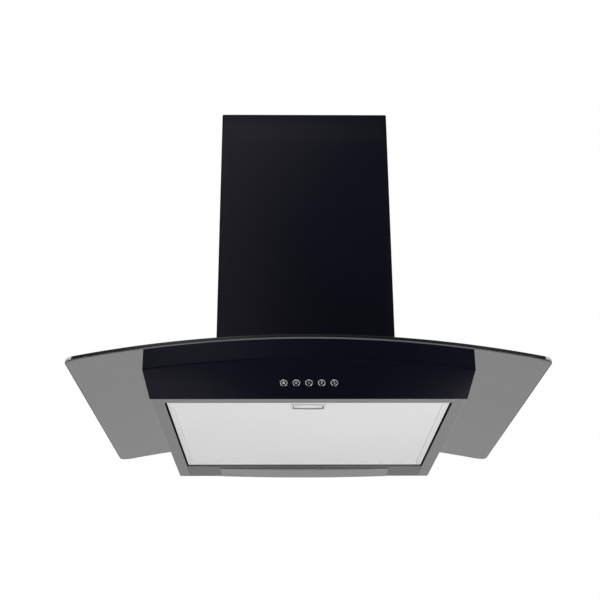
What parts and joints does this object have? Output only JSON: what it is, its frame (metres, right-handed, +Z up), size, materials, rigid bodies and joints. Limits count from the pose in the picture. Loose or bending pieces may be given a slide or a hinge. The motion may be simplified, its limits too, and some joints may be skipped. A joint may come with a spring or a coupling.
{
  "type": "range hood",
  "caption": "Wall-mounted kitchen range hood: arched smoked glass canopy over a shallow body with push buttons, grease filter and rear lamp, below a square black chimney.",
  "frame": {"origin": "centre of the four wall screws, on the wall plane", "axes": "+X to the right seen from the front, +Y into the wall, +Z up"},
  "size_m": [0.6, 0.5, 0.5324],
  "materials": {
    "smoked_glass": "polished smoked tempered glass",
    "black_enamel": "high gloss black enamel",
    "grey_steel": "satin grey coat",
    "zinc_steel": "bright zinc coated sheet",
    "filter_aluminium": "satin aluminium mesh and frame",
    "fastener_steel": "zinc plated",
    "button_chrome": "bright chrome",
    "lamp_diffuser": "translucent frosted acrylic",
    "bulb_glass": "frosted glass",
    "white_plastic": "moulded white",
    "black_plastic": "moulded black",
    "grey_plastic": "moulded grey",
    "seal_foam": "closed cell foam strip",
    "bush_rubber": "soft black rubber",
    "motor_metal": "cast and pressed motor shell",
    "nylon": "natural nylon"
  },
  "bodies": {
    "hood": {"canopy_glass": "smoked_glass", "canopy_seal": "seal_foam", "box_seal": "seal_foam", "canopy_screws": "fastener_steel", "canopy_nuts": "fastener_steel", "canopy_sleeves": "nylon", "front_fascia": "black_enamel", "side_wall_left": "grey_steel", "side_wall_right": "grey_steel", "rear_wall": "grey_steel", "top_plate": "zinc_steel", "side_rail_left": "grey_steel", "side_rail_right": "grey_steel", "front_lip": "grey_steel", "rear_rail": "grey_steel", "lamp_tray": "white_plastic", "lamp_holders": "white_plastic", "lamp_caps": "fastener_steel", "lamp_bulbs": "bulb_glass", "switch_bank": "black_plastic", "switch_strap": "zinc_steel", "switch_nuts": "fastener_steel", "air_box": "zinc_steel", "box_flange": "zinc_steel", "cover_ears": "zinc_steel", "scroll_left": "grey_plastic", "scroll_right": "grey_plastic", "motor": "motor_metal", "motor_bracket": "zinc_steel", "motor_bushes": "bush_rubber", "motor_screws": "fastener_steel", "capacitor": "white_plastic", "duct_collar": "black_plastic", "duct_screws": "fastener_steel", "flap_pin": "fastener_steel", "terminal_box": "grey_plastic", "terminal_lid": "grey_plastic", "cable_gland": "black_plastic", "chimney_cover": "black_enamel", "cover_screws": "fastener_steel", "chimney_bracket": "zinc_steel"},
    "grease_filter": {"filter_frame": "filter_aluminium", "filter_face": "filter_aluminium", "filter_mesh": "filter_aluminium", "filter_back": "filter_aluminium", "filter_lugs": "filter_aluminium", "latch_pan": "filter_aluminium"},
    "filter_latch": {"latch_slider": "filter_aluminium"},
    "lamp_lid": {"lamp_cover": "lamp_diffuser"},
    "fan": {"impeller": "black_plastic", "motor_shaft": "fastener_steel"},
    "front_flap": {"flap_front": "grey_plastic"},
    "rear_flap": {"flap_rear": "grey_plastic"},
    "upper_chimney": {"chimney_extension": "black_enamel"},
    "button_1": {"push_button_1": "button_chrome"},
    "button_2": {"push_button_2": "button_chrome"},
    "button_3": {"push_button_3": "button_chrome"},
    "button_4": {"push_button_4": "button_chrome"},
    "button_5": {"push_button_5": "button_chrome"}
  },
  "joints": [
    {"name": "filter_hinge", "type": "hinge", "parent": "hood", "child": "grease_filter", "pos_m": [0, -0.1165, -0.2075], "axis": [1, 0, 0], "range_deg": [0, 80]},
    {"name": "latch_slide", "type": "slide", "parent": "grease_filter", "child": "filter_latch", "axis": [0, 1, 0], "range_m": [0, 0.005], "stiffness_N_per_m": 300, "springref_m": -0.004},
    {"name": "lamp_cover_hinge", "type": "hinge", "parent": "hood", "child": "lamp_lid", "pos_m": [0, -0.053, -0.2103], "axis": [1, 0, 0], "range_deg": [0, 70]},
    {"name": "fan_spin", "type": "hinge", "parent": "hood", "child": "fan", "pos_m": [0, -0.141, -0.018], "axis": [1, 0, 0], "continuous": true},
    {"name": "front_flap_hinge", "type": "hinge", "parent": "hood", "child": "front_flap", "pos_m": [0, -0.0835, 0.13605], "axis": [-1, 0, 0], "range_deg": [0, 75]},
    {"name": "rear_flap_hinge", "type": "hinge", "parent": "hood", "child": "rear_flap", "pos_m": [0, -0.0835, 0.13605], "axis": [1, 0, 0], "range_deg": [0, 75]},
    {"name": "chimney_slide", "type": "slide", "parent": "hood", "child": "upper_chimney", "axis": [0, 0, 1], "range_m": [0, 0.25]},
    {"name": "button_1_press", "type": "slide", "parent": "hood", "child": "button_1", "axis": [0, 0.7416, 0.6708], "range_m": [0, 0.002], "stiffness_N_per_m": 400, "springref_m": -0.002},
    {"name": "button_2_press", "type": "slide", "parent": "hood", "child": "button_2", "axis": [0, 0.7416, 0.6708], "range_m": [0, 0.002], "stiffness_N_per_m": 400, "springref_m": -0.002},
    {"name": "button_3_press", "type": "slide", "parent": "hood", "child": "button_3", "axis": [0, 0.7416, 0.6708], "range_m": [0, 0.002], "stiffness_N_per_m": 400, "springref_m": -0.002},
    {"name": "button_4_press", "type": "slide", "parent": "hood", "child": "button_4", "axis": [0, 0.7416, 0.6708], "range_m": [0, 0.002], "stiffness_N_per_m": 400, "springref_m": -0.002},
    {"name": "button_5_press", "type": "slide", "parent": "hood", "child": "button_5", "axis": [0, 0.7416, 0.6708], "range_m": [0, 0.002], "stiffness_N_per_m": 400, "springref_m": -0.002}
  ]
}
